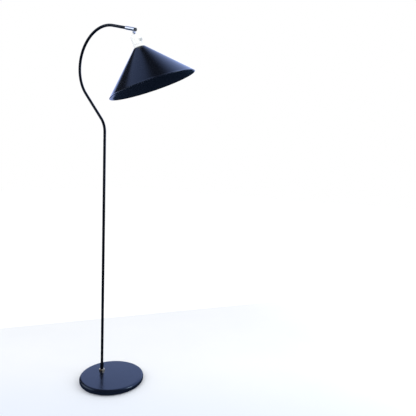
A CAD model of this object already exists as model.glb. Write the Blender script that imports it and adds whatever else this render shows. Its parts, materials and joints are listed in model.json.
"""Adjustable arm floor lamp: its finishes, its smooth outer pieces and the studio that it stands in.

Laid out as an add-on and run as a script.  Everything is in metres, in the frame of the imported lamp:
the origin on the floor under the base, +Z up along the pole, +X the way that the arm reaches.
"""

import json
import math

import bmesh
import bpy
import numpy as np
from mathutils import Euler, Matrix, Vector


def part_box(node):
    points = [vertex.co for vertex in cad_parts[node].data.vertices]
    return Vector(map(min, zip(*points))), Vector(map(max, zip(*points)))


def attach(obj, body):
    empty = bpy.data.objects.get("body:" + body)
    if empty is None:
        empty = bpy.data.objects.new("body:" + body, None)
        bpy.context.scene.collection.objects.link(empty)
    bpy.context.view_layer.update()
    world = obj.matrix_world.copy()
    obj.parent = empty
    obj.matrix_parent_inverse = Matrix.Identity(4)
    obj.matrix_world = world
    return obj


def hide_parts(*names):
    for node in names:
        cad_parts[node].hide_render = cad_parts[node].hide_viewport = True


bl_info = {
    "name": "Adjustable Arm Floor Lamp",
    "version": (1, 0, 0),
    "blender": (4, 5, 0),
    "location": "3D View > Sidebar > Lamp",
    "description": "Finishes and smooth outer pieces of a floor lamp with a swan-neck arm",
    "category": "Object",
}

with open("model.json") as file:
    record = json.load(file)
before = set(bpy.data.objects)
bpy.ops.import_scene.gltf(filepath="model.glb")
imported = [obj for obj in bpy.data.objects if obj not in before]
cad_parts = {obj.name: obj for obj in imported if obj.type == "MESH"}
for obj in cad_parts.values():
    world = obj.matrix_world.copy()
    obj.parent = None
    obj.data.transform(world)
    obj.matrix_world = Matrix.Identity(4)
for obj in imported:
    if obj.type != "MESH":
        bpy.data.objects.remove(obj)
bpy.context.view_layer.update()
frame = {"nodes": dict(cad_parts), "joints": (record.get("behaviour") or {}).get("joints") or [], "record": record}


# ---------------------------------------------------------------- places on the lamp
class Seat:
    """A place on the lamp: an origin, and three directions square to each other."""

    def __init__(self, origin, x, z):
        self.origin = np.array(origin, float)
        z = np.array(z, float)
        z = z / np.linalg.norm(z)
        x = np.array(x, float)
        x = x - (x @ z) * z
        x = x / np.linalg.norm(x)
        self.axes = np.array([x, np.cross(z, x), z])

    def world(self, points):
        """Points given along the seat's own directions, as points of the lamp."""
        return np.asarray(points, float) @ self.axes + self.origin

    def own(self, points):
        return (np.asarray(points, float) - self.origin) @ self.axes.T

    def at(self, x=0.0, y=0.0, z=0.0, facing=None, side=None):
        """A seat on this one, at x, y, z, whose Z runs along facing and whose X is nearest to side."""
        facing = (0.0, 0.0, 1.0) if facing is None else facing
        side = (1.0, 0.0, 0.0) if side is None else side
        return Seat(self.world((x, y, z)), np.array(side) @ self.axes, np.array(facing) @ self.axes)


def joint(name):
    """Where a joint of the record stands, and its axis."""
    found = next(each for each in frame["joints"] if each["name"] == name)
    return np.array(found["pos_m"], float), np.array(found["axis"], float)


def span(node, seat):
    """Lowest and highest corner of a CAD node along a seat's own directions."""
    mesh = frame["nodes"][node].data
    points = np.empty(len(mesh.vertices) * 3)
    mesh.vertices.foreach_get("co", points)
    points = seat.own(points.reshape(-1, 3))
    return points.min(0), points.max(0)


SWIVEL_AT, SWIVEL_AXIS = joint("arm_swivel")
SLEEVE_AT, SLEEVE_AXIS = joint("sleeve_swivel")
TILT_AT, TILT_AXIS = joint("head_tilt")
KNOB_AT, KNOB_AXIS = joint("knob_turn")

FLOOR = Seat((0, 0, 0), (1, 0, 0), (0, 0, 1))
POLE = Seat((SWIVEL_AT[0], SWIVEL_AT[1], 0), (1, 0, 0), SWIVEL_AXIS)
SLEEVE = Seat(SLEEVE_AT, TILT_AXIS, SLEEVE_AXIS)
HEAD = Seat(TILT_AT, KNOB_AXIS, np.cross(KNOB_AXIS, TILT_AXIS))
KNOB = Seat(KNOB_AT, HEAD.axes[2], KNOB_AXIS)
TUBE_R = span("pole_tube", POLE)[1][0]  # half the width of the pole and of the arm


# ---------------------------------------------------------------- surfaces
def corner(start, end, centre, steps=8):
    """Part of an ellipse's outline: centre + (cos t, sin t) on the half sizes that start and end give."""
    start = np.array(start, float)
    end = np.array(end, float)
    centre = np.array(centre, float)
    t = np.linspace(0.0, math.pi / 2, steps + 1)[:, None]
    return centre + np.cos(t) * (start - centre) + np.sin(t) * (end - centre)


def soften(outline, reach, loop=True, steps=4):
    """An outline with its corners eased.

    Each corner P becomes the parabola (1-s)^2 A + 2 s (1-s) P + s^2 B, where A and B lie one reach
    back along its two sides.  A point just outside each end keeps the flats beside it flat.
    """
    points = np.asarray(outline, float)
    back = np.roll(points, 1, 0) - points
    ahead = np.roll(points, -1, 0) - points
    back_length = np.linalg.norm(back, axis=1, keepdims=True)
    ahead_length = np.linalg.norm(ahead, axis=1, keepdims=True)
    reach = np.broadcast_to(np.asarray(reach, float).reshape(-1, 1), back_length.shape)
    if not loop:
        inside = np.ones_like(reach)
        inside[0] = 0.0
        inside[-1] = 0.0
        reach = reach * inside
    a = back * np.minimum(reach / back_length, 0.30)
    b = ahead * np.minimum(reach / ahead_length, 0.30)
    s = np.linspace(0.0, 1.0, steps + 1)[None, :, None]
    curve = points[:, None] + (1 - s) ** 2 * a[:, None] + s**2 * b[:, None]
    curve = np.concatenate([(points + 1.4 * a)[:, None], curve, (points + 1.4 * b)[:, None]], 1)
    eased = curve.reshape(-1, 2)
    step = np.linalg.norm(np.diff(eased, axis=0, prepend=eased[-1:]), axis=1)
    kept = step > 1e-7
    kept[0] = True
    return eased[kept]


def refined(outline, longest, loop=True):
    """The outline with points added by straight interpolation, so that no side is over longest."""
    points = np.asarray(outline, float)
    if loop:
        points = np.vstack([points, points[:1]])
    length = np.linalg.norm(np.diff(points, axis=0), axis=1)
    counts = np.maximum(1, np.ceil(length / longest)).astype(int)
    which = np.repeat(np.arange(len(counts)), counts)
    first = np.concatenate([[0], np.cumsum(counts)[:-1]])
    share = (np.arange(counts.sum()) - first[which]) / counts[which]
    filled = points[which] + share[:, None] * (points[which + 1] - points[which])
    return filled if loop else np.vstack([filled, points[-1:]])


def sheet_of(name, grid, around=True, along=True, across=None, down=None):
    """A mesh whose faces join neighbours of a grid of points, welded where points coincide.

    across and down are the lengths along the grid's two directions, for the map called "surface".
    """
    rows, columns = grid.shape[:2]
    i, j = np.meshgrid(
        np.arange(rows if around else rows - 1),
        np.arange(columns if along else columns - 1),
        indexing="ij",
    )
    corner_i = np.stack([i, i + 1, i + 1, i], -1).reshape(-1, 4)
    corner_j = np.stack([j, j, j + 1, j + 1], -1).reshape(-1, 4)
    faces = (corner_i % rows) * columns + corner_j % columns
    mesh = bpy.data.meshes.new(name)
    mesh.from_pydata(grid.reshape(-1, 3).tolist(), [], faces.tolist())
    across = np.arange(rows + 1) if across is None else across
    down = np.arange(columns + 1) if down is None else down
    marks = np.stack([across[corner_i], down[corner_j]], -1)
    layer = mesh.uv_layers.new(name="surface")
    layer.data.foreach_set("uv", marks.astype(np.float32).ravel())
    work = bmesh.new()
    work.from_mesh(mesh)
    bmesh.ops.remove_doubles(work, verts=work.verts, dist=1e-7)
    bmesh.ops.dissolve_degenerate(work, edges=work.edges, dist=1e-8)
    bmesh.ops.recalc_face_normals(work, faces=work.faces)
    work.to_mesh(mesh)
    work.free()
    mesh.polygons.foreach_set("use_smooth", np.ones(len(mesh.polygons), bool))
    mesh.set_sharp_from_angle(angle=math.radians(40))
    made = bpy.data.objects.new(name, mesh)
    bpy.context.scene.collection.objects.link(made)
    return made


def along_outline(outline, loop):
    """Distance from the outline's first point to each of its points, and to the first again."""
    closed = np.vstack([outline, outline[:1] if loop else outline[-1:]])
    steps = np.linalg.norm(np.diff(closed, axis=0), axis=1)
    return np.concatenate([[0.0], np.cumsum(steps)])


def lathe(name, outline, seat, sides=96, loop=True, swell=None, angles=None):
    """A surface of revolution about the seat's Z.

    Angle t and outline point (r, z) give the point (r' cos t, r' sin t, z), where r' is r, or
    swell(t, r, z) for a form that isn't round all the way.
    """
    outline = np.asarray(outline, float)
    if angles is None:
        angles = np.linspace(0.0, 2 * math.pi, sides, endpoint=False)
    t = angles[:, None]
    r = outline[None, :, 0]
    z = outline[None, :, 1] + 0.0 * t
    radius = r + 0.0 * t
    if swell is not None:
        radius = swell(t, radius, z)
    grid = seat.world(np.stack([radius * np.cos(t), radius * np.sin(t), z], -1))
    across = np.append(angles, angles[0] + 2 * math.pi) * outline[:, 0].max()
    return sheet_of(name, grid, True, loop, across, along_outline(outline, loop))


def carried(name, path, outline, side, sides=32):
    """A round bar along a path in one plane.

    Path point p with heading h, and outline point (r, s), give p + s h + r (cos t n + sin t side),
    where n = side x h.  The outline has one (r, s) for each path point.
    """
    heading = np.gradient(path, axis=0)
    heading = heading / np.linalg.norm(heading, axis=1, keepdims=True)
    across = np.cross(side, heading)
    t = np.linspace(0.0, 2 * math.pi, sides, endpoint=False)[:, None, None]
    r = outline[None, :, :1]
    middle = path + outline[:, 1:] * heading
    grid = middle[None] + r * (np.cos(t) * across[None] + np.sin(t) * np.asarray(side, float))
    length = np.concatenate([[0.0], np.cumsum(np.linalg.norm(np.diff(path, axis=0), axis=1))])
    turn = np.linspace(0.0, 2 * math.pi, sides + 1) * outline[:, 0].max()
    return sheet_of(name, grid, True, False, turn, np.append(length, length[-1]))


def strap(name, path, outward, seat, widths, thicknesses):
    """A flat strap bent along a path in the seat's XY plane, its width along the seat's Z.

    Path point p, with outward direction n, half width w and half thickness h, gives the section
    p + h c n + w s z, where (c, s) runs round a square circle: |c|^8 + |s|^8 = 1.
    """
    t = np.linspace(0.0, 2 * math.pi, 40, endpoint=False)
    c = np.sign(np.cos(t)) * np.abs(np.cos(t)) ** 0.25
    s = np.sign(np.sin(t)) * np.abs(np.sin(t)) ** 0.25
    flat = path[None] + (thicknesses[None, :, None] * c[:, None, None]) * outward[None]
    height = widths[None, :] * s[:, None]
    grid = np.concatenate([flat, height[..., None]], -1)
    return sheet_of(name, seat.world(grid), True, False)


def screw_head(name, seat, radius, height, slot, sides=48):
    """A domed screw head: height (1 - (r/R)^4 / 3), less a slot as wide as slot across it."""
    r = np.linspace(0.0, radius, 18)
    t = np.linspace(0.0, 2 * math.pi, sides, endpoint=False)[:, None]
    top = height * (1 - (r[None] / radius) ** 4 / 3) + 0.0 * t
    cut = 1 / (1 + np.exp((np.abs(r[None] * np.sin(t)) - slot / 2) / (0.06 * slot)))
    top = top - 0.45 * height * cut
    x = r[None] * np.cos(t)
    y = r[None] * np.sin(t)
    face = np.stack([x, y, top], -1)
    rim = np.stack([x[:, -1:], y[:, -1:], 0.0 * x[:, -1:]], -1)
    foot = np.stack([0.0 * x[:, -1:], 0.0 * y[:, -1:], 0.0 * x[:, -1:]], -1)
    return sheet_of(name, seat.world(np.concatenate([face, rim, foot], 1)), True, False)


def ridged(pitch, depth, low, high):
    """A round thread: r - depth (1 - cos(2 pi (z / pitch - t / 2 pi))) / 2 between two heights."""

    def swell(t, r, z):
        wave = (1 - np.cos(2 * math.pi * z / pitch - t)) / 2
        inside = np.clip((z - low) / (pitch / 3), 0, 1) * np.clip((high - z) / (pitch / 3), 0, 1)
        return r - depth * wave * inside

    return swell


# ---------------------------------------------------------------- shader maths
class Value:
    """A shader socket that takes part in Python arithmetic."""

    def __init__(self, finish, socket):
        self.finish = finish
        self.socket = socket

    def maths(self, operation, first, second=None):
        """One Math node on one or two values."""
        sockets = {0: first} if second is None else {0: first, 1: second}
        return self.finish.node("ShaderNodeMath", {"operation": operation}, sockets)

    def __add__(self, other):
        return self.maths("ADD", self, other)

    def __sub__(self, other):
        return self.maths("SUBTRACT", self, other)

    def __rsub__(self, other):
        return self.maths("SUBTRACT", other, self)

    def __mul__(self, other):
        return self.maths("MULTIPLY", self, other)

    def __truediv__(self, other):
        return self.maths("DIVIDE", self, other)

    def __pow__(self, other):
        return self.maths("POWER", self, other)

    def __gt__(self, other):
        return self.maths("GREATER_THAN", self, other)

    def __lt__(self, other):
        return self.maths("LESS_THAN", self, other)

    __radd__ = __add__
    __rmul__ = __mul__


class Finish:
    """A material, or a world, that is being made out of nodes."""

    def __init__(self, owner):
        owner.use_nodes = True
        self.owner = owner
        self.nodes = owner.node_tree.nodes
        self.links = owner.node_tree.links
        self.nodes.clear()

    def node(self, kind, settings=None, sockets=None, out=0):
        """Adds a node: its settings first, then its sockets' values or links.  Returns one output."""
        made = self.nodes.new(kind)
        for key, value in (settings or {}).items():
            if key == "stops":
                for stop, (place, colour) in zip(self.stops(made, len(value)), value):
                    stop.position = place
                    stop.color = (*colour, 1.0)
            else:
                setattr(made, key, value)
        for key, value in (sockets or {}).items():
            if isinstance(value, Value):
                self.links.new(value.socket, made.inputs[key])
            else:
                made.inputs[key].default_value = value
        return Value(self, made.outputs[out]) if made.outputs else None

    def stops(self, ramp, count):
        elements = ramp.color_ramp.elements
        while len(elements) < count:
            elements.new(0.5)
        return elements

    def place(self):
        """Where a point lies on the lamp, in metres."""
        return self.node("ShaderNodeTexCoord", out="Object")

    def marks(self):
        """The piece's own map: metres round it and metres along its outline."""
        return self.node("ShaderNodeUVMap", {"uv_map": "surface"})

    def parts(self, vector):
        """The three numbers of a vector."""
        split = self.node("ShaderNodeSeparateXYZ", sockets={0: vector})
        outputs = split.socket.node.outputs
        return [Value(self, outputs[i]) for i in range(3)]

    def stretched(self, vector, scale):
        return self.node("ShaderNodeMapping", sockets={"Vector": vector, "Scale": scale})

    def noise(self, vector, scale, detail=2.0, roughness=0.5):
        """Cloudy noise from about 0.25 to 0.75, with features about 1/scale metres wide."""
        sockets = {"Vector": vector, "Scale": scale, "Detail": detail, "Roughness": roughness}
        return self.node("ShaderNodeTexNoise", sockets=sockets)

    def cells(self, vector, scale, randomness=1.0):
        """Distance to the nearest of points scattered 1/scale metres apart."""
        sockets = {"Vector": vector, "Scale": scale, "Randomness": randomness}
        return self.node("ShaderNodeTexVoronoi", sockets=sockets)

    def between(self, value, low, high):
        """0 below low and 1 above high, smooth between."""
        sockets = {"Value": value, "From Min": low, "From Max": high}
        return self.node("ShaderNodeMapRange", {"interpolation_type": "SMOOTHSTEP"}, sockets)

    def blended(self, factor, first, second):
        """One colour turning into another."""
        first = first if isinstance(first, Value) else (*first, 1.0)
        second = second if isinstance(second, Value) else (*second, 1.0)
        sockets = {0: factor, 6: first, 7: second}
        return self.node("ShaderNodeMix", {"data_type": "RGBA"}, sockets, out=2)

    def bump(self, height, distance, strength=1.0):
        """A normal from a height that runs from 0 to 1 over distance metres."""
        sockets = {"Height": height, "Distance": distance, "Strength": strength}
        return self.node("ShaderNodeBump", sockets=sockets)

    def surface(self, **sockets):
        """The Principled shader and the output.  Names use _ for a space."""
        named = {key.replace("_", " "): value for key, value in sockets.items()}
        shader = self.node("ShaderNodeBsdfPrincipled", sockets=named)
        self.node("ShaderNodeOutputMaterial", sockets={"Surface": shader})
        return self.owner


def new_finish(name):
    return Finish(bpy.data.materials.new(name))


# ---------------------------------------------------------------- finishes
def enamel(name, colour, roughness, peel, peel_depth, dust, gloss=1.56, wear=None):
    """Stoved black paint: a fine orange peel, faint clouding, rubbed patches and specks of dust.

    wear, if given, is a function of the finish that returns where the paint is thin, from 0 to 1.
    """
    made = new_finish(name)
    place = made.place()
    clouds = made.noise(place, 14.0, 3.0)
    rubbed = made.noise(made.stretched(place, (1.0, 1.0, 0.35)), 55.0, 4.0, 0.6)
    grain = made.noise(place, peel, 2.0, 0.45)
    specks = made.cells(place, 210.0) < 0.075
    fluff = made.between(made.noise(place, 38.0, 2.0), 0.5, 0.7)
    dusty = specks * fluff
    shade = made.blended(clouds, tuple(0.75 * c for c in colour), tuple(1.3 * c for c in colour))
    shade = made.blended(dusty * dust, shade, (0.30, 0.32, 0.35))
    rough = roughness + 0.14 * (rubbed - 0.5) + 0.05 * (clouds - 0.5) + 0.25 * dusty
    if wear is not None:
        worn = wear(made, place)
        shade = made.blended(worn, shade, (0.075, 0.072, 0.070))
        rough = rough + 0.22 * worn
    height = grain + 0.25 * dusty
    return made.surface(
        Base_Color=shade,
        Roughness=rough,
        Normal=made.bump(height, peel_depth),
        Specular_Tint=(0.62, 0.80, 1.0, 1.0),
        IOR=gloss,
    )


def edge_wear(radius, low, high, reach):
    """Chips along the base's two rounded edges."""

    def worn(made, place):
        x, y, z = made.parts(place)
        out = (x * x + y * y) ** 0.5
        near_rim = made.between(out, radius - reach, radius - 0.3 * reach)
        near_top = made.between(z, high - reach, high - 0.2 * reach)
        near_low = 1 - made.between(z, low + 0.2 * reach, low + reach)
        chips = made.between(made.noise(place, 260.0, 4.0, 0.65), 0.66, 0.70)
        return near_rim * (near_top + near_low) * chips * 0.7

    return worn


def rim_wear(made, place):
    """Small chips on the rolled rim, by the distance along the shade's outline."""
    marks = made.parts(made.marks())
    near = made.between(marks[1], lamp_sizes().rim_from, lamp_sizes().rim_from + 0.002)
    past = 1 - made.between(marks[1], lamp_sizes().rim_to, lamp_sizes().rim_to + 0.002)
    chips = made.between(made.noise(place, 330.0, 4.0, 0.6), 0.64, 0.69)
    return near * past * chips * 0.8


def plated(name, colour, dull, roughness, lines, depth):
    """Bright plated or turned metal: fine turning lines round it, spots and a thin tarnish."""
    made = new_finish(name)
    place = made.place()
    marks = made.marks()
    turned = made.noise(made.stretched(marks, (12.0, lines, 1.0)), 1.0, 3.0, 0.7)
    tarnish = made.between(made.noise(place, 160.0, 5.0, 0.62), 0.48, 0.72)
    spots = made.cells(place, 900.0) < 0.14
    rare = made.between(made.noise(place, 120.0, 1.0), 0.52, 0.62)
    marked = spots * rare
    shade = made.blended(tarnish * 0.55, colour, dull)
    shade = made.blended(marked * 0.6, shade, tuple(0.5 * c for c in dull))
    rough = roughness + 0.16 * tarnish + 0.10 * (turned - 0.5) + 0.3 * marked
    return made.surface(
        Base_Color=shade,
        Metallic=1.0,
        Roughness=rough,
        Normal=made.bump(turned, depth),
    )


def moulded(name, colour, aged, roughness, grain, depth, coat=0.0):
    """Moulded plastic or glazed ware: a little yellowing, faint flow marks and fine grain."""
    made = new_finish(name)
    place = made.place()
    age = made.between(made.noise(place, 45.0, 3.0), 0.38, 0.72)
    smear = made.noise(made.stretched(place, (1.0, 1.0, 0.3)), 130.0, 4.0, 0.6)
    fine = made.noise(place, grain, 2.0, 0.5)
    specks = (made.cells(place, 520.0) < 0.07) * made.between(made.noise(place, 90.0), 0.5, 0.62)
    shade = made.blended(age * 0.5, colour, aged)
    shade = made.blended(specks * 0.35, shade, tuple(0.45 * c for c in aged))
    rough = roughness + 0.16 * (smear - 0.5) + 0.2 * specks
    return made.surface(
        Base_Color=shade,
        Roughness=rough,
        Coat_Weight=coat,
        Coat_Roughness=0.12,
        Normal=made.bump(fine, depth),
    )


def felted(name, colour):
    """Pressed felt: short fibres lying all ways, with paler hairs."""
    made = new_finish(name)
    place = made.place()
    hairs = made.noise(made.stretched(place, (1.0, 3.5, 1.0)), 900.0, 4.0, 0.7)
    other = made.noise(made.stretched(place, (3.5, 1.0, 1.0)), 1000.0, 4.0, 0.7)
    pile = (hairs + other) * 0.5
    pale = made.between(pile, 0.50, 0.66)
    shade = made.blended(pale, tuple(0.6 * c for c in colour), tuple(2.2 * c for c in colour))
    return made.surface(
        Base_Color=shade,
        Roughness=0.96,
        Sheen_Weight=0.35,
        Sheen_Roughness=0.5,
        Normal=made.bump(pile, 0.0006),
    )


def jacketed(name, colour):
    """The flex's rubber jacket: matt, with faint lengthwise drag marks."""
    made = new_finish(name)
    place = made.place()
    drag = made.noise(made.stretched(place, (1.0, 1.0, 0.08)), 1500.0, 3.0, 0.6)
    chalk = made.between(made.noise(place, 70.0, 3.0), 0.45, 0.7)
    shade = made.blended(chalk * 0.4, colour, tuple(2.6 * c for c in colour))
    rough = 0.62 + 0.2 * (drag - 0.5)
    return made.surface(Base_Color=shade, Roughness=rough, Normal=made.bump(drag, 0.0001))


def opal(name, colour):
    """The bulb's white glass: milky and smooth, with a faint unevenness of the coating."""
    made = new_finish(name)
    place = made.place()
    milk = made.noise(place, 90.0, 3.0, 0.5)
    ripple = made.noise(place, 35.0, 1.0)
    shade = made.blended(milk, tuple(0.94 * c for c in colour), colour)
    rough = 0.14 + 0.10 * (milk - 0.5)
    return made.surface(
        Base_Color=shade,
        Roughness=rough,
        Coat_Weight=0.5,
        Coat_Roughness=0.05,
        Subsurface_Weight=0.12,
        Subsurface_Scale=0.004,
        Normal=made.bump(ripple, 0.0004),
    )


# ---------------------------------------------------------------- settings
def length(name, description, default, low=0.0, high=3.0):
    return bpy.props.FloatProperty(
        name=name,
        description=description,
        default=default,
        min=low,
        max=high,
        precision=5,
        unit="LENGTH",
    )


def angle(name, description, degrees):
    return bpy.props.FloatProperty(
        name=name,
        description=description,
        default=math.radians(degrees),
        subtype="ANGLE",
        unit="ROTATION",
    )


def colour(name, description, default):
    return bpy.props.FloatVectorProperty(
        name=name,
        description=description,
        default=default,
        min=0.0,
        max=4.0,
        size=3,
        subtype="COLOR",
    )


def way(name, description, default):
    return bpy.props.FloatVectorProperty(
        name=name,
        description=description,
        default=default,
        size=3,
        subtype="DIRECTION",
    )


class LAMP_PG_sizes(bpy.types.PropertyGroup):
    """Sizes of the lamp's outer pieces that their boxes don't give."""

    base_rounding: length("Base rounding", "Rounding of the iron base's edges", 0.0095)
    inlet_depth: length("Inlet depth", "Depth of the flat that the inlet grommet stands in", 0.003)
    tube_radius: length("Tube radius", "Half the width of the pole and of the arm", TUBE_R)
    first_rise: length("First rise", "Straight stretch from the swivel to the first bend", 0.026)
    low_radius: length("Lower bend radius", "Middle line of the arm's reverse bend", 0.088)
    low_angle: angle("Lower bend", "How far the reverse bend leans the arm back", 42.1)
    slope: length("Slope", "Straight stretch between the two bends", 0.1533)
    arch_radius: length("Arch radius", "Middle line of the big arch", 0.1646)
    arch_angle: angle("Arch", "How far the arch carries the arm over", 147.6)
    tube_setback: length("Tube setback", "From the sleeve's outer end back to the tube's", 0.022)
    crown: length("Cover crown", "Half width of the cover's flat top", 0.008)
    shoulder: length("Cover shoulder", "Height of the cover's domed shoulder", 0.0087)
    cover_wall: length("Cover wall", "Thickness of the cover", 0.0018)
    shade_wall: length("Shade wall", "Thickness of the shade's steel", 0.0008)
    rim_bead: length("Rim bead", "Half the thickness of the shade's rolled rim", 0.0015)
    rim_from: length("Rim starts", "Distance along the shade's outline to its rim", 0.22)
    rim_to: length("Rim ends", "Distance along the shade's outline past its rim", 0.24)
    bulb_neck: length("Bulb neck", "Half width of the bulb's neck", 0.014)
    thread_pitch: length("Thread pitch", "Pitch of the bulb's and the holder's threads", 0.0036)


class LAMP_PG_colours(bpy.types.PropertyGroup):
    """Colours of the lamp's finishes."""

    iron: colour("Base enamel", "Paint on the iron base", (0.0040, 0.0055, 0.0130))
    steel: colour("Tube enamel", "Paint on the pole and the arm", (0.0022, 0.0026, 0.0050))
    shade: colour("Shade enamel", "Paint on the shade", (0.0030, 0.0040, 0.0075))
    chrome: colour("Chrome", "Plating of the sleeve", (0.80, 0.82, 0.85))
    brass: colour("Brass", "The locknut round the pole's foot", (0.92, 0.78, 0.52))
    zinc: colour("Zinc", "Plating of the hidden nuts and screws", (0.58, 0.60, 0.62))
    cover: colour("Cover", "The lampholder's moulded cover", (0.93, 0.94, 0.94))
    knob: colour("Knob", "The switch knob", (0.56, 0.58, 0.58))
    plug: colour("Plug", "The plastic plug and bushes", (0.020, 0.024, 0.026))
    felt: colour("Felt", "The pad under the base", (0.030, 0.031, 0.034))
    jacket: colour("Jacket", "The flex's jacket", (0.016, 0.016, 0.018))
    glass: colour("Bulb glass", "The bulb's opal glass", (0.90, 0.90, 0.88))
    ware: colour("Porcelain", "The holder's insert", (0.86, 0.84, 0.78))


class LAMP_PG_studio(bpy.types.PropertyGroup):
    """The camera, the lights and the floor."""

    lens: bpy.props.FloatProperty(
        name="Lens",
        description="Focal length on a sensor 36 mm wide",
        default=36.27,
        unit="CAMERA",
    )
    camera_at: bpy.props.FloatVectorProperty(
        name="Camera place",
        description="Where the camera stands",
        default=(1.3453, -1.2687, 0.9625),
        subtype="TRANSLATION",
        unit="LENGTH",
    )
    camera_turn: bpy.props.FloatVectorProperty(
        name="Camera turn",
        description="Which way the camera looks",
        default=(math.radians(84.626), math.radians(-2.027), math.radians(34.197)),
        subtype="EULER",
    )
    wall: colour("Wall", "The white wall behind the lamp, as the camera sees it", (1.0, 1.0, 1.0))
    room: colour(
        "Mirrored room", "The dim room before the lamp, as the enamel mirrors it", (0.020, 0.022, 0.030)
    )
    sky: colour("Mirrored wall", "The wall as the enamel mirrors it", (0.72, 0.92, 1.65))
    panel: colour("Mirrored panel", "The low panel as the sleeve mirrors it", (1.1, 1.2, 1.4))
    bounce: colour("Bounce", "The light that comes from all sides", (0.90, 0.905, 0.91))
    wall_way: way("Wall", "Where the bright wall stands", (0.25, 0.90, 0.35))
    side_wall: way("Side wall", "Where the wall shines on the left", (-0.75, 0.65, 0.17))
    high_panel: way("High panel", "Where the high panel hangs", (-0.572, -0.08, 0.815))
    low_panel: way("Low panel", "Where the low panel stands", (-0.72, -0.62, 0.30))
    floor: colour("Floor", "The pale floor", (0.70, 0.74, 0.82))
    mirrored_floor: colour("Mirrored floor", "The floor as the enamel mirrors it", (0.030, 0.060, 0.120))
    floor_away: bpy.props.FloatVectorProperty(
        name="Away",
        description="The way across the floor towards the wall",
        default=(-0.56, 0.83),
        size=2,
        subtype="DIRECTION",
    )
    fill: bpy.props.FloatProperty(
        name="Fill light",
        description="Power of the soft light beside the camera",
        default=20.0,
        unit="POWER",
    )
    window: bpy.props.FloatProperty(
        name="Window light",
        description="Power of the tall soft light on the right",
        default=26.0,
        unit="POWER",
    )


def lamp_sizes():
    return bpy.context.scene.lamp_sizes


def lamp_colours():
    return bpy.context.scene.lamp_colours


# ---------------------------------------------------------------- shared by the pieces
def keep(piece, body, slot, material, *nodes):
    """Paints a piece, hangs it on a body and lets it stand for CAD nodes."""
    piece.data.materials.append(material)
    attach(piece, body)
    for node in nodes:
        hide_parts(node)
    return piece


def finish_named(name, make, *values, **options):
    """The material called name, made the first time that it is asked for."""
    return bpy.data.materials.get(name) or make(name, *values, **options)


def black_steel():
    steel = tuple(lamp_colours().steel)
    return finish_named("tube_enamel", enamel, steel, 0.20, 900.0, 0.00002, 0.10, 1.33)


def zinc_plate():
    zinc = tuple(lamp_colours().zinc)
    dull = tuple(0.55 * c for c in zinc)
    return finish_named("zinc_plate", plated, zinc, dull, 0.32, 4000.0, 0.00004)


def chrome_plate():
    chrome = tuple(lamp_colours().chrome)
    return finish_named("chrome_plate", plated, chrome, (0.60, 0.60, 0.60), 0.09, 2600.0, 0.00002)


def bright_brass():
    brass = tuple(lamp_colours().brass)
    dull = (0.50, 0.42, 0.30)
    return finish_named("turned_brass", plated, brass, dull, 0.34, 5000.0, 0.00004)


def dark_plastic():
    plug = tuple(lamp_colours().plug)
    aged = tuple(1.9 * c for c in plug)
    return finish_named("dark_plastic", moulded, plug, aged, 0.42, 1400.0, 0.00006)


def white_plastic():
    cover = tuple(lamp_colours().cover)
    aged = (0.90, 0.89, 0.84)
    return finish_named("cover_plastic", moulded, cover, aged, 0.30, 1100.0, 0.00003, coat=0.3)


def shade_enamel():
    paint = tuple(lamp_colours().shade)
    return finish_named("shade_enamel", enamel, paint, 0.15, 620.0, 0.00003, 0.5, wear=rim_wear)


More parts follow.
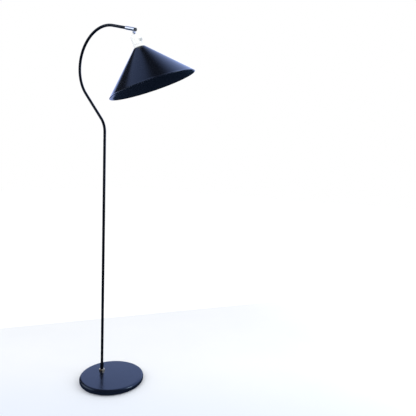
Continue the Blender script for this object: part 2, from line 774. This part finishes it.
# ---------------------------------------------------------------- pieces
class LAMP_OT_base(bpy.types.Operator):
    """Makes the enamelled iron base, its felt pad and the inlet's grommet"""

    bl_idname = "lamp.base"
    bl_label = "Base"

    def execute(self, context):
        sizes = lamp_sizes()
        low, high = (np.array(c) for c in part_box("base_disc"))
        inlet_low, inlet_high = span("inlet_grommet", FLOOR)
        inlet_z = (inlet_low[2] + inlet_high[2]) / 2
        grommet_r = (inlet_high[2] - inlet_low[2]) / 2
        radius = high[0]
        edge = sizes.base_rounding
        inner = radius - edge
        top = high[2]
        under = low[2]
        outline = np.vstack(
            [
                [(0.0, top)],
                corner((inner, top), (radius, top - edge), (inner, top - edge), 14),
                corner((radius, under + edge), (inner, under), (inner, under + edge), 14),
                [(0.0, under)],
            ]
        )
        outline = refined(outline, 0.004, loop=False)
        side = (outline[:, 1] > under + 0.001) & (outline[:, 1] < top - 0.001)
        first, last = np.flatnonzero(side)[[0, -1]]
        outline = np.vstack(
            [
                outline[:first],
                refined(outline[first : last + 1], 0.0006, loop=False),
                outline[last + 1 :],
            ]
        )
        flat = radius - sizes.inlet_depth
        recess = grommet_r + 0.0005

        def swell(t, r, z):
            """The round side, less a flat spot: r = flat / cos(t - pi) inside the recess."""
            away = np.hypot(radius * (t - math.pi), z - inlet_z)
            inside = np.clip((recess - away) / 0.0004, 0, 1)
            level = np.minimum(r, flat / np.cos(t - math.pi))
            return np.where(r > 0.9 * radius, r + inside * (level - r), r)

        near = np.radians(np.linspace(176.5, 183.5, 50))
        rest = np.radians(np.linspace(183.5, 536.5, 170)[1:-1])
        paint = enamel(
            "base_enamel",
            tuple(lamp_colours().iron),
            0.22,
            480.0,
            0.00005,
            0.5,
            gloss=1.54,
            wear=edge_wear(radius, under, top, 0.006),
        )
        angles = np.concatenate([near, rest])
        disc = lathe("iron_base", outline, FLOOR, loop=False, swell=swell, angles=angles)
        keep(disc, "stand", "iron_enamel", paint, "base_disc")

        low, high = (np.array(c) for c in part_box("base_felt"))
        pad = [(0.0, high[2]), (high[0], high[2]), (high[0], low[2]), (0.0, low[2])]
        pad = refined(soften(pad, 0.0006, loop=False), 0.01, loop=False)
        felt = felted("felt", tuple(lamp_colours().felt))
        keep(lathe("felt_pad", pad, FLOOR, 160, loop=False), "stand", "felt", felt, "base_felt")

        inlet = FLOOR.at(-flat, 0, inlet_z, facing=(-1, 0, 0), side=(0, 0, 1))
        low, high = span("inlet_grommet", inlet)
        bore = 0.0020
        shank = grommet_r - 0.0012
        ring = [
            (grommet_r, high[2]),
            (grommet_r, 0.0003),
            (shank, 0.0003),
            (shank, low[2]),
            (bore, low[2]),
            (bore, high[2]),
        ]
        grommet = lathe("cord_grommet", soften(ring, 0.0004), inlet, 48)
        keep(grommet, "stand", "black_plastic", dark_plastic(), "inlet_grommet")
        return {"FINISHED"}


class LAMP_OT_foot(bpy.types.Operator):
    """Makes the brass locknut and the black collar round the pole's foot"""

    bl_idname = "lamp.foot"
    bl_label = "Foot"

    def execute(self, context):
        bore = lamp_sizes().tube_radius + 0.0003
        mesh = frame["nodes"]["foot_locknut"].data
        points = np.empty(len(mesh.vertices) * 3)
        mesh.vertices.foreach_get("co", points)
        points = POLE.own(points.reshape(-1, 3))
        out = np.hypot(points[:, 0], points[:, 1])
        tip = points[out.argmax()]
        turn = math.atan2(tip[1], tip[0])
        half = out.max() * math.cos(math.radians(30)) * 1.006
        low = points[:, 2].min()
        high = points[:, 2].max()

        def swell(t, r, z):
            """Outside: the least of a hexagon, half / cos(t mod 60 - 30), and a cone at each face."""
            across = half / np.cos((t - turn) % math.radians(60) - math.radians(30))
            depth = np.minimum(high - z, z - low)
            cone = half * 1.0 + 1.75 * depth
            side = np.minimum(across, cone)
            return np.where(r > bore + 1e-6, np.minimum(r, side), r)

        wide = out.max() * 1.02
        heights = np.concatenate([[0, 0.15, 0.4, 0.8, 1.2, 1.7], np.linspace(2.4, 5.6, 6)])
        heights = np.concatenate([heights, 8 - heights[5::-1]]) / 8
        wall = np.column_stack([np.full(len(heights), wide), high - heights * (high - low)])
        rings = np.linspace(bore, half, 10)[1:]
        top = np.column_stack([rings, np.full(9, high)])
        bottom = np.column_stack([rings[::-1], np.full(9, low)])
        hole = np.column_stack([np.full(8, bore), np.linspace(low, high, 8)])
        loop = np.vstack([top, wall, bottom, hole])
        nut = lathe("brass_locknut", loop, POLE, 180, swell=swell)
        keep(nut, "stand", "brass", bright_brass(), "foot_locknut")

        low, high = span("foot_collar", POLE)
        loop = [(high[0], high[2]), (high[0], low[2]), (bore, low[2]), (bore, high[2])]
        loop = soften(loop, [0.0012, 0.0004, 0.0001, 0.0002])
        collar = lathe("foot_collar_ring", refined(loop, 0.004), POLE, 96)
        keep(collar, "stand", "black_steel", black_steel(), "foot_collar")
        return {"FINISHED"}


class LAMP_OT_pole(bpy.types.Operator):
    """Makes the pole, the bush in its top and the screw that keeps the arm in"""

    bl_idname = "lamp.pole"
    bl_label = "Pole"

    def execute(self, context):
        low, high = span("pole_tube", POLE)
        radius = lamp_sizes().tube_radius
        bore = radius - 0.001
        loop = [(radius, high[2]), (radius, low[2]), (bore, low[2]), (bore, high[2])]
        loop = refined(soften(loop, 0.0003), 0.03)
        keep(lathe("pole", loop, POLE, 64), "stand", "black_steel", black_steel(), "pole_tube")

        low, high = span("pole_bush", POLE)
        bore = 0.0041
        inside = radius - 0.0013
        flange = high[2] - 0.0012
        loop = [
            (radius - 0.0003, high[2]),
            (radius - 0.0003, flange),
            (inside, flange),
            (inside, low[2]),
            (bore, low[2]),
            (bore, high[2]),
        ]
        bush = lathe("swivel_bush", soften(loop, 0.0003), POLE, 64)
        keep(bush, "stand", "nylon", dark_plastic(), "pole_bush")

        low, high = span("arm_retaining_screw", POLE)
        middle = (low[2] + high[2]) / 2
        seat = POLE.at(-radius, 0, middle, facing=(-1, 0, 0), side=(0, 0.8, 0.6))
        head = screw_head("swivel_screw", seat, (high[1] - low[1]) / 2, -radius - low[0], 0.0008)
        keep(head, "stand", "black_steel", black_steel(), "arm_retaining_screw")
        return {"FINISHED"}


class LAMP_OT_arm(bpy.types.Operator):
    """Makes the swan-neck arm"""

    bl_idname = "lamp.arm"
    bl_label = "Arm"

    def middle_line(self, start, total, count):
        """Points of the swan neck in the lamp's XZ plane.

        The heading is the sum of -angle and +angle of the two bends, each shared evenly over its
        arc, and the points are the running sum of (sin, cos) of the heading.
        """
        sizes = lamp_sizes()
        s = np.linspace(0.0, total, 6001)
        low_arc = sizes.low_radius * sizes.low_angle
        low_from = sizes.first_rise - start
        arch_from = low_from + low_arc + sizes.slope
        arch_arc = sizes.arch_radius * sizes.arch_angle
        heading = sizes.arch_angle * np.clip((s - arch_from) / arch_arc, 0, 1)
        heading = heading - sizes.low_angle * np.clip((s - low_from) / low_arc, 0, 1)
        mid = (heading[1:] + heading[:-1]) / 2
        step = s[1]
        x = np.concatenate([[0.0], np.cumsum(np.sin(mid) * step)])
        z = np.concatenate([[0.0], np.cumsum(np.cos(mid) * step)])
        wanted = np.linspace(0.0, total, count)
        return np.column_stack([np.interp(wanted, s, x), 0.0 * wanted, np.interp(wanted, s, z)])

    def execute(self, context):
        sizes = lamp_sizes()
        low = span("arm_tube", POLE)[0]
        start = low[2] - SWIVEL_AT[2]
        radius = sizes.tube_radius
        bends = sizes.low_radius * sizes.low_angle + sizes.arch_radius * sizes.arch_angle
        foot = self.middle_line(start, sizes.first_rise - start + bends + sizes.slope, 3)[-1]
        foot = foot + np.array([SWIVEL_AT[0], 0.0, low[2]])
        end = np.linalg.norm(SLEEVE_AT - foot) - sizes.tube_setback
        total = sizes.first_rise - start + bends + sizes.slope + end
        path = self.middle_line(start, total, 260) + np.array([SWIVEL_AT[0], 0.0, low[2]])
        ends = np.array([(0.0, 0.0), (radius - 0.0006, 0.0), (radius - 0.0001, 0.0003)])
        count = len(path)
        outline = np.column_stack([np.full(count, radius), np.zeros(count)])
        outline[:3] = ends
        outline[-3:] = ends[::-1] * (1, -1)
        path[1:3] = path[0] + (path[1] - path[0]) * np.array([[0.0005], [0.001]])
        path[-3:-1] = path[-1] + (path[-2] - path[-1]) * np.array([[0.001], [0.0005]])
        tube = carried("swan_neck", path, outline, (0.0, 1.0, 0.0), 48)
        keep(tube, "arm", "black_steel", black_steel(), "arm_tube")
        return {"FINISHED"}


class LAMP_OT_sleeve(bpy.types.Operator):
    """Makes the bright sleeve on the arm's end, its grub screw and its plug"""

    bl_idname = "lamp.sleeve"
    bl_label = "Sleeve"

    def execute(self, context):
        low, high = span("tip_sleeve", SLEEVE)
        radius = high[0]
        bore = radius - 0.0009
        loop = [(radius, high[2]), (radius, low[2]), (bore, low[2]), (bore, high[2])]
        loop = refined(soften(loop, 0.0005), 0.003)
        tube = lathe("chrome_sleeve", loop, SLEEVE, 96)
        keep(tube, "sleeve", "bright_chrome", chrome_plate(), "tip_sleeve")

        low, high = span("sleeve_plug", SLEEVE)
        wide = high[0]
        step = high[2] - 0.005
        inside = radius - 0.0012
        loop = [
            (0.0, high[2]),
            (wide, high[2]),
            (wide, step),
            (inside, step),
            (inside, low[2]),
            (0.0, low[2]),
        ]
        loop = soften(loop, [0.0, 0.0022, 0.0004, 0.0002, 0.0004, 0.0], loop=False, steps=6)
        plug = lathe("end_plug", refined(loop, 0.0012, loop=False), SLEEVE, 96, loop=False)
        keep(plug, "sleeve", "black_plastic", dark_plastic(), "sleeve_plug")

        low, high = span("sleeve_grub_screw", SLEEVE)
        middle = (low[2] + high[2]) / 2
        seat = SLEEVE.at(0, -bore, middle, facing=(0, -1, 0))
        head = screw_head("grub_screw", seat, (high[0] - low[0]) / 2, -bore - low[1], 0.0006)
        keep(head, "sleeve", "zinc_steel", zinc_plate(), "sleeve_grub_screw")
        return {"FINISHED"}


class LAMP_OT_knuckle(bpy.types.Operator):
    """Makes the knuckle: the yoke under the sleeve, its two screws and the head's eye"""

    bl_idname = "lamp.knuckle"
    bl_label = "Knuckle"

    def execute(self, context):
        pivot = SLEEVE.own(TILT_AT)
        seat = SLEEVE.at(*pivot)
        low, high = span("knuckle_yoke", seat)
        ear = high[2]
        thick = 0.0016
        middle = high[0] - thick / 2
        top = high[1] - 0.0016
        web = 0.0037
        foot = -ear
        bend = 0.0012  # how far the bend from ear to web reaches
        turns = corner((-middle, web - bend), (-middle + bend, web), (-middle + bend, web - bend), 6)
        left = np.column_stack([np.full(28, -middle), np.linspace(foot, web - 0.0014, 28)])
        half_path = np.vstack([left, turns, [(-0.0012, web)]])
        path = np.vstack([half_path, [(0.0, web)], half_path[::-1] * (-1, 1)])
        heading = np.gradient(path, axis=0)
        heading = heading / np.linalg.norm(heading, axis=1, keepdims=True)
        outward = np.column_stack([-heading[:, 1], heading[:, 0]])
        widths = np.sqrt(np.clip(ear**2 - np.minimum(path[:, 1], 0.0) ** 2, 0.0, None))
        flat = np.clip(np.abs(path[:, 0]) / middle, 0, 1) ** 3
        thicknesses = 0.00045 + (thick / 2 - 0.00045) * flat
        thicknesses[[0, -1]] = 0.0
        yoke = strap("yoke", path, outward, seat, widths, thicknesses)
        keep(yoke, "sleeve", "bright_chrome", chrome_plate(), "knuckle_yoke")

        wing = top - 0.0002
        for side, name in ((-1, "wing_right"), (1, "wing_left")):
            line = np.linspace(web - 0.0010, wing, 10)
            path = np.column_stack([np.full(10, side * middle), line])
            outward = np.tile((float(side), 0.0), (10, 1))
            widths = ear * np.sqrt(np.clip(1 - ((line - line[0]) / (wing - line[0] + 1e-5)) ** 6, 0, 1))
            thicknesses = np.full(10, thick / 2)
            thicknesses[[0, -1]] = 0.0
            piece = strap(name, path, outward, seat, widths, thicknesses)
            keep(piece, "sleeve", "bright_chrome", chrome_plate())

        for node, side in (("pivot_screw_right", -1), ("pivot_screw_left", 1)):
            low, high = span(node, seat)
            far = high[0] if side > 0 else -low[0]
            ear_face = middle + thick / 2
            place = seat.at(side * ear_face, 0, 0, facing=(side, 0, 0), side=(0, 0.7, 0.7))
            screw = screw_head(node + "_head", place, high[2], far - ear_face, 0.0007)
            keep(screw, "sleeve", "bright_chrome", chrome_plate(), node)

        low, high = span("knuckle_eye", HEAD)
        half = high[1] if high[1] < 0.005 else 0.0037
        radius = high[2]
        barrel_seat = HEAD.at(facing=(0, 1, 0))
        loop = [(0.0, half), (radius, half), (radius, -half), (0.0, -half)]
        loop = soften(loop, 0.0005, loop=False)
        barrel = lathe("knuckle_barrel", loop, barrel_seat, 48, loop=False)
        keep(barrel, "head", "bright_chrome", chrome_plate(), "knuckle_eye")
        flange = -span("cover_cap", HEAD)[1][2] - 0.0003  # just above the cover's top
        flange_r = high[0] if high[0] > radius else 0.0065
        stem = [
            (0.0, 0.0),
            (radius, 0.0),
            (radius, -flange + 0.002),
            (flange_r, -flange + 0.002),
            (flange_r, -flange),
            (0.0, -flange),
        ]
        stem = soften(stem, [0.0, 0.0002, 0.0006, 0.0005, 0.0003, 0.0], loop=False)
        stem = lathe("knuckle_stem", stem, HEAD, 48, loop=False)
        keep(stem, "head", "bright_chrome", chrome_plate())
        return {"FINISHED"}


class LAMP_OT_cover(bpy.types.Operator):
    """Makes the white two-part cover of the lampholder, its threaded ring and the switch knob"""

    bl_idname = "lamp.cover"
    bl_label = "Cover"

    def execute(self, context):
        sizes = lamp_sizes()
        low, high = span("cover_cap", HEAD)
        radius = high[1]
        wall = sizes.cover_wall
        crown = sizes.crown
        drop = sizes.shoulder
        hole = 0.0048
        top = high[2]
        seam = low[2]
        outer = corner((crown, top), (radius, top - drop), (crown, top - drop), 20)
        inner = corner(
            (radius - wall, top - drop), (crown, top - wall), (crown, top - drop), 12
        )
        edge = [
            (radius, seam + 0.0005),
            (radius - 0.0004, seam),
            (radius - wall, seam),
        ]
        loop = np.vstack([[(hole, top)], outer, edge, inner, [(hole, top - wall)]])
        cap = lathe("cover_dome", refined(loop, 0.002), HEAD, 128)
        keep(cap, "head", "white_plastic", white_plastic(), "cover_cap")

        low, high = span("holder_body", HEAD)
        seat_z = -span("shade", HEAD)[1][2] - 0.0003
        seam = seam - 0.0003
        thread = radius - wall - 0.0003
        bore = 0.0158
        loop = [
            (thread, high[2]),
            (thread, seam),
            (radius, seam),
            (radius, -seat_z),
            (thread, -seat_z),
            (thread, low[2]),
            (bore, low[2]),
            (bore, high[2]),
        ]
        rounding = [0.0003, 0.0001, 0.0006, 0.0003, 0.0001, 0.0005, 0.0003, 0.0003]
        loop = refined(soften(loop, rounding), 0.0008)
        below = ridged(0.0025, 0.0006, low[2] + 0.001, -seat_z - 0.001)

        def swell(t, r, z):
            return np.where(r > thread - 0.0002, below(t, r, z), r)

        body = lathe("holder_skirt", loop, HEAD, 128, swell=swell)
        keep(body, "head", "white_plastic", white_plastic(), "holder_body")

        low, high = span("shade_ring", HEAD)
        wide = high[1]
        loop = [(wide, high[2]), (wide, low[2]), (thread + 0.0003, low[2]), (thread + 0.0003, high[2])]
        loop = refined(soften(loop, 0.0006), 0.001)

        def grips(t, r, z):
            """The outside of the ring: r less 0.6 mm in 24 round notches."""
            notch = np.clip(np.cos(24 * t) - 0.35, 0, 1) / 0.65
            return np.where(r > wide - 0.001, r - 0.0006 * notch, r)

        ring = lathe("shade_clamp_ring", loop, HEAD, 288, swell=grips)
        keep(ring, "head", "white_plastic", white_plastic(), "shade_ring")

        low, high = span("switch_knob", KNOB)
        wide = high[0]
        far = high[2]
        loop = [(0.0, far), (wide, far), (wide, 0.0006), (0.0022, 0.0006), (0.0022, low[2]), (0.0, low[2])]
        loop = soften(loop, [0.0, 0.0014, 0.0005, 0.0002, 0.0002, 0.0], loop=False)
        loop = refined(loop, 0.0008, loop=False)

        def flutes(t, r, z):
            """The knob's grip: r less 0.3 mm in 20 flutes, fading out towards its face."""
            depth = 0.0003 * np.clip((far - z) / 0.002, 0, 1)
            return np.where(r > 0.8 * wide, r - depth * (1 - np.cos(20 * t)) / 2, r)

        knob = lathe("switch_dial", loop, KNOB, 240, loop=False, swell=flutes)
        grey = tuple(lamp_colours().knob)
        paint = moulded("knob_plastic", grey, tuple(0.7 * c for c in grey), 0.34, 1200.0, 0.00005)
        keep(knob, "knob", "grey_plastic", paint, "switch_knob")
        return {"FINISHED"}


class LAMP_OT_shade(bpy.types.Operator):
    """Makes the spun steel shade with its rolled rim"""

    bl_idname = "lamp.shade"
    bl_label = "Shade"

    def execute(self, context):
        sizes = lamp_sizes()
        mesh = frame["nodes"]["shade"].data
        points = np.empty(len(mesh.vertices) * 3)
        mesh.vertices.foreach_get("co", points)
        points = HEAD.own(points.reshape(-1, 3))
        out = np.hypot(points[:, 0], points[:, 1])
        top = points[:, 2].max()
        end = points[:, 2].min()
        at_top = np.abs(points[:, 2] - top) < 1e-5
        neck = out[at_top].max()
        hole = out[at_top].min()
        bead = sizes.rim_bead
        rim = out.max()
        wall = sizes.shade_wall
        slope = (rim - neck) / (top - end)
        lean = math.atan(slope)
        centre = np.array([rim - bead, end + bead])
        start = math.radians(75)
        finish = lean - math.radians(150)
        t = np.linspace(start, finish, 18)[:, None]
        roll = centre + bead * np.hstack([np.cos(t), np.sin(t)])
        across = wall * math.hypot(1.0, slope)
        inner_end = end + 1.6 * bead
        inner = [
            (neck + slope * (top - inner_end) - across, inner_end),
            (neck + slope * wall - across, top - wall),
            (hole, top - wall),
        ]
        shoulder = soften([(hole, top), (neck, top), roll[0]], [0.0, 0.0025, 0.0], loop=False, steps=6)
        outer = refined(shoulder, 0.006, loop=False)
        loop = np.vstack([outer[:-1], roll, refined(inner, 0.006, loop=False)])
        run = along_outline(loop, True)
        sizes.rim_from = run[len(outer) - 1] - 0.002
        sizes.rim_to = run[len(outer) + len(roll) - 2]

        def spun(t, r, z):
            """Not quite round: r (1 + 0.0012 share sin(2 t + 0.6) + 0.0006 share sin(3 t))."""
            share = np.clip((top - z) / (top - end), 0, 1)
            return r * (1 + share * (0.0012 * np.sin(2 * t + 0.6) + 0.0006 * np.sin(3 * t)))

        piece = lathe("spun_shade", loop, HEAD, 288, swell=spun)
        keep(piece, "head", "black_enamel", shade_enamel(), "shade")
        return {"FINISHED"}


class LAMP_OT_bulb(bpy.types.Operator):
    """Makes the bulb's opal glass and its threaded cap"""

    bl_idname = "lamp.bulb"
    bl_label = "Bulb"

    def execute(self, context):
        sizes = lamp_sizes()
        low, high = span("bulb_glass", HEAD)
        ball = high[1]
        start = high[2]
        waist = low[2] + ball
        share = np.linspace(0.0, 1.0, 30)
        neck = sizes.bulb_neck
        swelling = neck + (ball - neck) * np.sin(share * math.pi / 2) ** 2
        upper = np.column_stack([swelling, start + share * (waist - start)])
        under = corner((ball, waist), (0.0, low[2]), (0.0, waist), 22)
        outline = np.vstack([[(0.0, start)], upper, under[1:]])
        glass = lathe("bulb_envelope", outline, HEAD, 96, loop=False)
        milk = opal("opal_glass", tuple(lamp_colours().glass))
        keep(glass, "head", "opal_glass", milk, "bulb_glass")

        low, high = span("bulb_cap", HEAD)
        radius = high[1]
        outline = [
            (0.0, high[2]),
            (radius * 0.7, high[2]),
            (radius, high[2] - 0.004),
            (radius, low[2]),
            (0.0, low[2]),
        ]
        outline = refined(soften(outline, 0.0006, loop=False), 0.0006, loop=False)
        thread = ridged(sizes.thread_pitch, 0.0012, low[2] + 0.003, high[2] - 0.004)

        def swell(t, r, z):
            return np.where(r > 0.9 * radius, thread(t, r, z), r)

        cap = lathe("bulb_thread", outline, HEAD, 96, loop=False, swell=swell)
        keep(cap, "head", "zinc_steel", zinc_plate(), "bulb_cap")
        return {"FINISHED"}


class LAMP_OT_inner(bpy.types.Operator):
    """Gives every remaining CAD node its finish"""

    bl_idname = "lamp.inner"
    bl_label = "Inner pieces"

    def execute(self, context):
        ware = tuple(lamp_colours().ware)
        porcelain = moulded("porcelain", ware, tuple(0.9 * c for c in ware), 0.16, 500.0, 0.00004, coat=0.6)
        jacket = jacketed("flex_jacket", tuple(lamp_colours().jacket))
        by_slot = {
            "black_steel": black_steel(),
            "zinc_steel": zinc_plate(),
            "brass": bright_brass(),
            "bright_chrome": chrome_plate(),
            "black_plastic": dark_plastic(),
            "nylon": dark_plastic(),
            "white_plastic": white_plastic(),
            "porcelain": porcelain,
            "flex_jacket": jacket,
            "black_enamel": shade_enamel(),
        }
        for entry in frame["record"]["subparts"]:
            node = frame["nodes"][entry["node"]]
            paint = by_slot.get(entry["material_slot"])
            if node.hide_render or paint is None:
                continue
            for slot in node.material_slots:
                slot.material = paint
        return {"FINISHED"}


class LAMP_OT_studio(bpy.types.Operator):
    """Sets up the pale floor, the soft light and the camera"""

    bl_idname = "lamp.studio"
    bl_label = "Studio"

    def camera(self, scene, studio):
        data = bpy.data.cameras.new("studio_camera")
        data.sensor_width = 36.0
        data.lens = studio.lens
        data.clip_start = 0.01
        data.clip_end = 100.0
        camera = bpy.data.objects.new("studio_camera", data)
        scene.collection.objects.link(camera)
        camera.location = studio.camera_at
        camera.rotation_euler = Euler(studio.camera_turn)
        scene.camera = camera

    def floor(self, scene, studio):
        """A square of floor, nearly as bright as the wall, so that shadows stay faint."""
        half = 12.0
        corners = np.array([(-half, -half, 0), (half, -half, 0), (half, half, 0), (-half, half, 0)])
        mesh = bpy.data.meshes.new("studio_floor")
        mesh.from_pydata(corners.tolist(), [], [(0, 1, 2, 3)])
        floor = bpy.data.objects.new("studio_floor", mesh)
        scene.collection.objects.link(floor)
        made = new_finish("floor_paint")
        place = made.place()
        mottle = made.noise(place, 3.0, 3.0)
        x, y, _ = made.parts(place)
        away = x * studio.floor_away[0] + y * studio.floor_away[1]
        wall_x, wall_y = -0.829, 0.560  # across the floor, square to the wall's foot
        wall_foot = (0.788, 0.796)  # how far off the wall's foot starts and ends
        from_wall = made.between(x * wall_x + y * wall_y, *wall_foot)
        near = made.between(away, -0.40, 0.25)
        tint = tuple(studio.floor)
        shade = made.blended(near, tint, (0.83, 0.84, 0.86))
        shade = made.blended(mottle * 0.3, shade, tuple(0.98 * c for c in tint))
        far = made.between((x * x + y * y) ** 0.5, 1.0, 2.5)
        shade = made.blended(far, shade, (1.0, 1.0, 1.0))
        shade = made.blended(from_wall, shade, (1.0, 1.0, 1.0))
        sockets = {
            "Base Color": shade,
            "Roughness": 0.6 + 0.1 * mottle,
            "Emission Color": shade,
            "Emission Strength": 0.12,
            "Specular IOR Level": 0.0,
        }
        bright = made.node("ShaderNodeBsdfPrincipled", sockets=sockets)
        dim = made.node("ShaderNodeEmission", sockets={"Color": (*studio.mirrored_floor, 1.0)})
        mirrored = made.node("ShaderNodeLightPath", out="Is Glossy Ray")
        both = made.node("ShaderNodeMixShader", sockets={0: mirrored, 1: bright, 2: dim})
        made.node("ShaderNodeOutputMaterial", sockets={"Surface": both})
        paint = made.owner
        floor.data.materials.append(paint)

    def world(self, scene, studio):
        """White to the camera; to the lamp, a bright wall behind it and a dim room before it.

        What the enamel mirrors is the wall, and two soft panels on the left: one high, one low.
        """
        world = bpy.data.worlds.new("studio_world")
        scene.world = world
        made = Finish(world)
        ways = made.node("ShaderNodeTexCoord", out="Generated")

        def towards(way):
            """Cosine of the angle between where a ray goes and a direction."""
            unit = Vector(way).normalized()
            dotted = {"operation": "DOT_PRODUCT"}
            return made.node("ShaderNodeVectorMath", dotted, {0: ways, 1: unit}, "Value")

        wall = made.between(towards(studio.wall_way), 0.34, 0.80)
        high = made.between(towards(studio.high_panel), 0.950, 0.990) * 0.42
        low = made.between(towards(studio.low_panel), 0.82, 0.95)
        side = made.between(towards(studio.side_wall), 0.87, 0.985)
        mirrored = made.blended(wall, tuple(studio.room), tuple(studio.sky))
        mirrored = made.blended(side, mirrored, tuple(studio.sky))
        mirrored = made.blended(high, mirrored, tuple(studio.sky))
        mirrored = made.blended(low, mirrored, tuple(studio.panel))
        glossy = made.node("ShaderNodeLightPath", out="Is Glossy Ray")
        lit = made.blended(glossy, tuple(studio.bounce), mirrored)
        seen = made.node("ShaderNodeLightPath", out="Is Camera Ray")
        shown = made.blended(seen, lit, tuple(studio.wall))
        paint = made.node("ShaderNodeBackground", sockets={"Color": shown, "Strength": 1.0})
        made.node("ShaderNodeOutputWorld", sockets={"Surface": paint})

    def light(self, scene, name, at, aim, size, power, tint, mirrored):
        data = bpy.data.lights.new(name, "AREA")
        data.shape = "RECTANGLE"
        data.size = size[0]
        data.size_y = size[1]
        data.energy = power
        data.color = tint
        light = bpy.data.objects.new(name, data)
        scene.collection.objects.link(light)
        sideways = (0.31, 0.95, 0.0)  # any way will do, since only the seat's Z is used
        seat = Seat(at, sideways, np.array(at, float) - np.array(aim, float))
        up = np.cross(seat.axes[2], np.cross((0.0, 0.0, 1.0), seat.axes[2]))
        across = np.cross(up, seat.axes[2])
        turn = np.column_stack([across / np.linalg.norm(across), up / np.linalg.norm(up), seat.axes[2]])
        matrix = np.eye(4)
        matrix[:3, :3] = turn
        matrix[:3, 3] = at
        light.matrix_world = Matrix(matrix.tolist())
        light.visible_glossy = mirrored
        light.visible_camera = False

    def execute(self, context):
        scene = context.scene
        studio = scene.lamp_studio
        self.camera(scene, studio)
        self.floor(scene, studio)
        self.world(scene, studio)
        middle = (0.0, 0.0, 0.9)
        white = (0.93, 0.97, 1.0)
        self.light(scene, "fill", (0.2, -2.6, 2.1), middle, (1.8, 1.8), studio.fill, white, False)
        self.light(scene, "window", (2.6, 1.1, 1.6), middle, (0.9, 1.8), studio.window, white, True)
        scene.view_settings.view_transform = "Standard"
        scene.view_settings.look = "None"
        scene.view_settings.exposure = 0.0
        scene.view_settings.gamma = 1.0
        return {"FINISHED"}


PIECES = (
    LAMP_OT_base,
    LAMP_OT_foot,
    LAMP_OT_pole,
    LAMP_OT_arm,
    LAMP_OT_sleeve,
    LAMP_OT_knuckle,
    LAMP_OT_cover,
    LAMP_OT_shade,
    LAMP_OT_bulb,
    LAMP_OT_inner,
    LAMP_OT_studio,
)


class LAMP_PT_panel(bpy.types.Panel):
    """Lists the lamp's settings and makes its pieces"""

    bl_label = "Floor Lamp"
    bl_idname = "LAMP_PT_panel"
    bl_space_type = "VIEW_3D"
    bl_region_type = "UI"
    bl_category = "Lamp"

    def draw(self, context):
        for group in (context.scene.lamp_sizes, context.scene.lamp_colours, context.scene.lamp_studio):
            box = self.layout.box()
            for name in group.bl_rna.properties.keys():
                if name not in {"rna_type", "name"}:
                    box.prop(group, name)
        for piece in PIECES:
            self.layout.operator(piece.bl_idname)


GROUPS = (
    (LAMP_PG_sizes, "lamp_sizes"),
    (LAMP_PG_colours, "lamp_colours"),
    (LAMP_PG_studio, "lamp_studio"),
)


def register():
    for group, name in GROUPS:
        bpy.utils.register_class(group)
        setattr(bpy.types.Scene, name, bpy.props.PointerProperty(type=group))
    for piece in PIECES:
        bpy.utils.register_class(piece)
    bpy.utils.register_class(LAMP_PT_panel)


def unregister():
    bpy.utils.unregister_class(LAMP_PT_panel)
    for piece in reversed(PIECES):
        bpy.utils.unregister_class(piece)
    for group, name in reversed(GROUPS):
        delattr(bpy.types.Scene, name)
        bpy.utils.unregister_class(group)


def main():
    """Makes every piece and the studio."""
    register()
    for piece in PIECES:
        category, name = piece.bl_idname.split(".")
        getattr(getattr(bpy.ops, category), name)()


if __name__ == "__main__":
    main()
